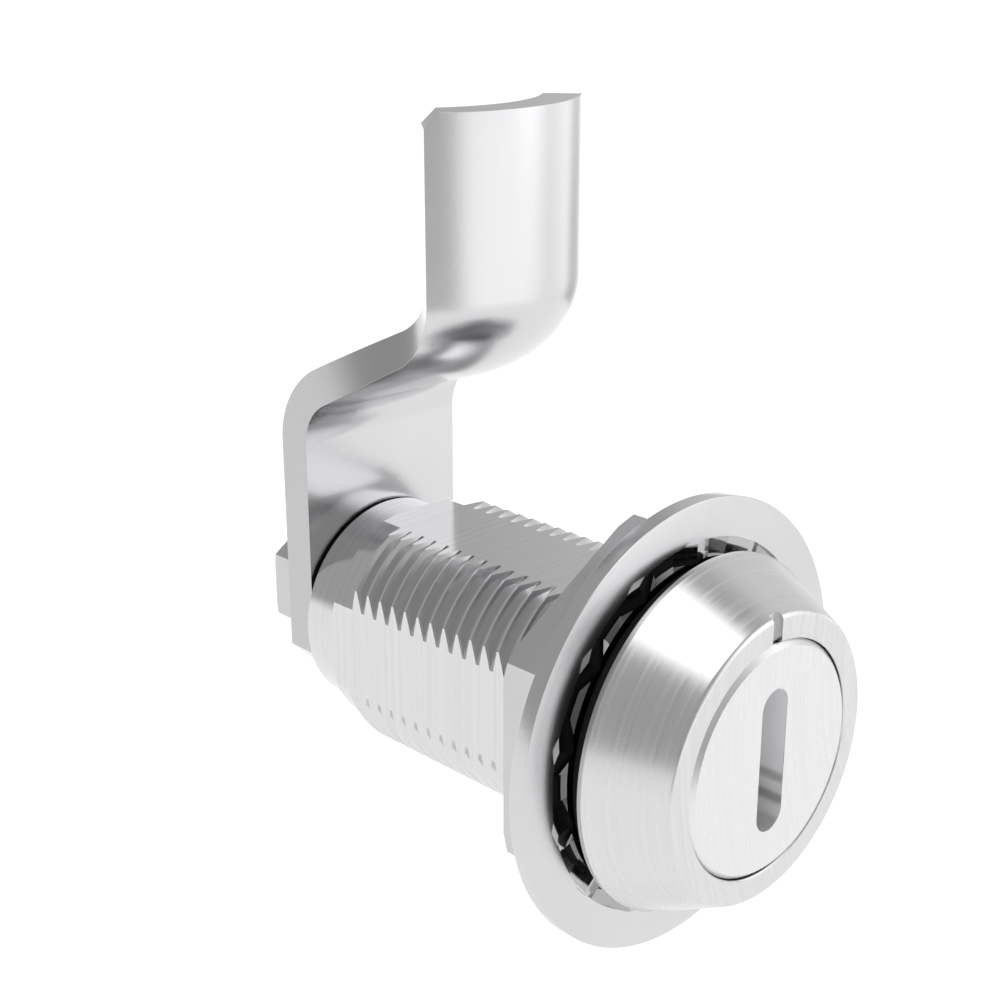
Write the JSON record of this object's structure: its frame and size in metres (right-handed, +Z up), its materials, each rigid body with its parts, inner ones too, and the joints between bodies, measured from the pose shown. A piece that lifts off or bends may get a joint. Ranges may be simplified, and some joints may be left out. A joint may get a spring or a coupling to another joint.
{
  "type": "compression latch",
  "caption": "Panel compression latch with round flush drive plug, threaded flatted body, toothed clamping ring, hex nut and cranked pawl.",
  "frame": {"origin": "on the latch axis, at the seat face on the rear of the head, where the panel lies", "axes": "-Y towards the front (key side), +Y into the cabinet, +Z up along the pawl, +X to the right seen from the front"},
  "size_m": [0.036, 0.052, 0.0628],
  "materials": {
    "head_steel": "stainless steel, turned and brushed round the axis, satin flats and thread",
    "plug_steel": "stainless steel, face brushed, slot walls polished",
    "ring_steel": "stainless steel, fine satin",
    "nut_steel": "stainless steel, satin",
    "pawl_steel": "stainless steel, smooth satin",
    "bolt_steel": "stainless steel, plain",
    "inner_steel": "stainless steel, turned",
    "seal_rubber": "black sealing rubber",
    "washer_plastic": "black low friction plastic"
  },
  "bodies": {
    "housing": {"housing": "head_steel", "head_seal": "seal_rubber", "toothed_ring": "ring_steel", "mounting_nut": "nut_steel"},
    "sleeve": {"guide_sleeve": "inner_steel", "thrust_washer": "washer_plastic", "retaining_ring": "inner_steel"},
    "plug": {"drive_plug": "plug_steel", "plug_seal": "seal_rubber", "detent_ball": "inner_steel", "detent_spring": "inner_steel", "spring_seat": "inner_steel", "return_spring": "inner_steel"},
    "shaft": {"shaft": "inner_steel", "cross_pin": "inner_steel", "shaft_seal": "seal_rubber", "pawl": "pawl_steel", "plain_washer": "bolt_steel", "lock_washer": "bolt_steel", "pawl_bolt": "bolt_steel"}
  },
  "joints": [
    {"name": "pawl_swing", "type": "hinge", "parent": "housing", "child": "sleeve", "pos_m": [0, 0, 0], "axis": [0, -1, 0], "range_deg": [0, 90]},
    {"name": "drive_turn", "type": "hinge", "parent": "sleeve", "child": "plug", "pos_m": [0, 0, 0], "axis": [0, -1, 0], "range_deg": [0, 90]},
    {"name": "pawl_draw", "type": "slide", "parent": "sleeve", "child": "shaft", "axis": [0, 1, 0], "range_m": [0, 0.006], "deforming": ["return_spring"]}
  ],
  "couplings": [
    {"joint": "drive_turn", "follows": "pawl_draw", "rad_per_m": 261.8}
  ]
}
